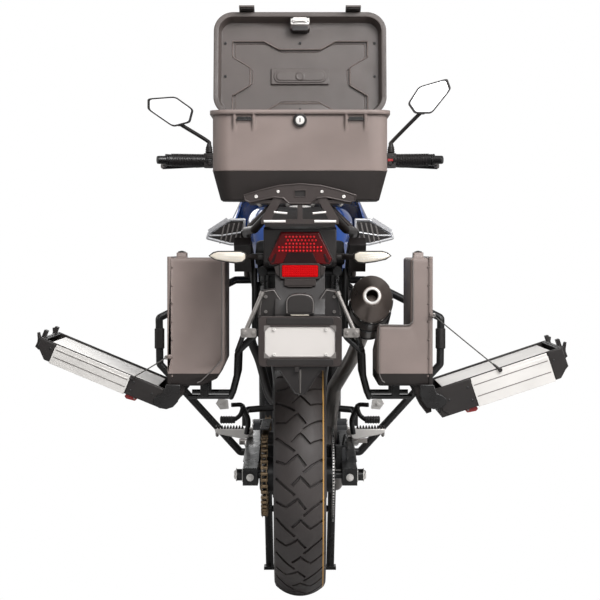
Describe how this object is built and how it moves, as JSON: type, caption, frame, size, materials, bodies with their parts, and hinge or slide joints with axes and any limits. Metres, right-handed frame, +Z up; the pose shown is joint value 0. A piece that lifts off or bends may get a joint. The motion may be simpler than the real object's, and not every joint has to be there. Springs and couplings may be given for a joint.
{
  "type": "adventure motorcycle with luggage cases",
  "caption": "Adventure motorcycle on its centre stand, with a grey top case and two grey side cases whose aluminium lids hang open on stay cords.",
  "frame": {"origin": "on the floor under the middle of the machine's length and width", "axes": "+Y forward, +X to the rider's right, +Z up"},
  "size_m": [1.2926, 2.1436, 1.4983],
  "materials": {
    "black_steel": "satin",
    "chain_bronze": "satin",
    "engine_grey": "satin",
    "exhaust_steel": "satin",
    "body_blue": "gloss",
    "seat_black": "matte",
    "clear_lens": "gloss",
    "clear_screen": "gloss",
    "vent_silver": "satin",
    "black_plastic": "satin",
    "bright_aluminium": "satin",
    "red_lens": "gloss",
    "plate_white": "satin",
    "rack_grey": "satin",
    "case_grey": "satin",
    "cord_grey": "matte",
    "tyre_rubber": "matte",
    "wheel_black": "satin"
  },
  "bodies": {
    "frame": {"main_frame": "black_steel", "swingarm": "black_steel", "drive_chain": "chain_bronze", "engine": "engine_grey", "radiator": "black_steel", "exhaust_pipe": "exhaust_steel", "silencer": "exhaust_steel", "fuel_tank": "body_blue", "seat": "seat_black", "side_panels": "body_blue", "front_fairing": "body_blue", "headlamps": "clear_lens", "windscreen": "clear_screen", "side_vents": "vent_silver", "instrument_panel": "black_plastic", "crash_bars": "black_steel", "foot_pegs": "bright_aluminium", "tail_housing": "black_plastic", "tail_light": "red_lens", "reflector": "red_lens", "rear_mudguard": "black_plastic", "number_plate": "plate_white", "rear_indicators": "clear_lens", "luggage_rack": "rack_grey", "pannier_rack": "black_steel", "top_case": "case_grey", "pannier_left": "case_grey", "pannier_right": "case_grey", "stay_cord_left": "cord_grey", "stay_cord_right": "cord_grey"},
    "steering": {"fork": "black_steel", "handlebar": "black_steel", "mirrors": "black_plastic", "front_mudguard": "black_plastic"},
    "front_wheel_body": {"front_tyre": "tyre_rubber", "front_wheel": "wheel_black"},
    "rear_wheel_body": {"rear_tyre": "tyre_rubber", "rear_wheel": "wheel_black"},
    "top_case_lid": {"top_lid": "case_grey"},
    "left_side_lid": {"left_lid": "black_plastic", "left_lid_panel": "bright_aluminium"},
    "right_side_lid": {"right_lid": "black_plastic", "right_lid_panel": "bright_aluminium"},
    "centre_stand_body": {"centre_stand": "black_steel"},
    "side_stand_body": {"side_stand": "black_steel"}
  },
  "joints": [
    {"name": "steering", "type": "hinge", "parent": "frame", "child": "steering", "pos_m": [0, 0.41802, 0.87292], "axis": [0, -0.454, 0.891], "range_deg": [-35, 35]},
    {"name": "front_wheel_spin", "type": "hinge", "parent": "steering", "child": "front_wheel_body", "pos_m": [0, 0.751, 0.3186], "axis": [1, 0, 0], "continuous": true},
    {"name": "rear_wheel_spin", "type": "hinge", "parent": "frame", "child": "rear_wheel_body", "pos_m": [0, -0.649, 0.314], "axis": [1, 0, 0], "continuous": true},
    {"name": "top_case_lid", "type": "hinge", "parent": "frame", "child": "top_case_lid", "pos_m": [0, -0.804, 1.2215], "axis": [1, 0, 0], "range_deg": [0, 102]},
    {"name": "left_side_lid", "type": "hinge", "parent": "frame", "child": "left_side_lid", "pos_m": [-0.3225, -0.749, 0.549], "axis": [0, 1, 0], "range_deg": [0, 67.3]},
    {"name": "right_side_lid", "type": "hinge", "parent": "frame", "child": "right_side_lid", "pos_m": [0.3225, -0.749, 0.549], "axis": [0, -1, 0], "range_deg": [0, 71.5]},
    {"name": "centre_stand", "type": "hinge", "parent": "frame", "child": "centre_stand_body", "pos_m": [0, -0.129, 0.25], "axis": [-1, 0, 0], "range_deg": [0, 75]},
    {"name": "side_stand", "type": "hinge", "parent": "frame", "child": "side_stand_body", "pos_m": [-0.128, 0.02, 0.272], "axis": [0.9781, 0, -0.2079], "range_deg": [0, 100]}
  ]
}
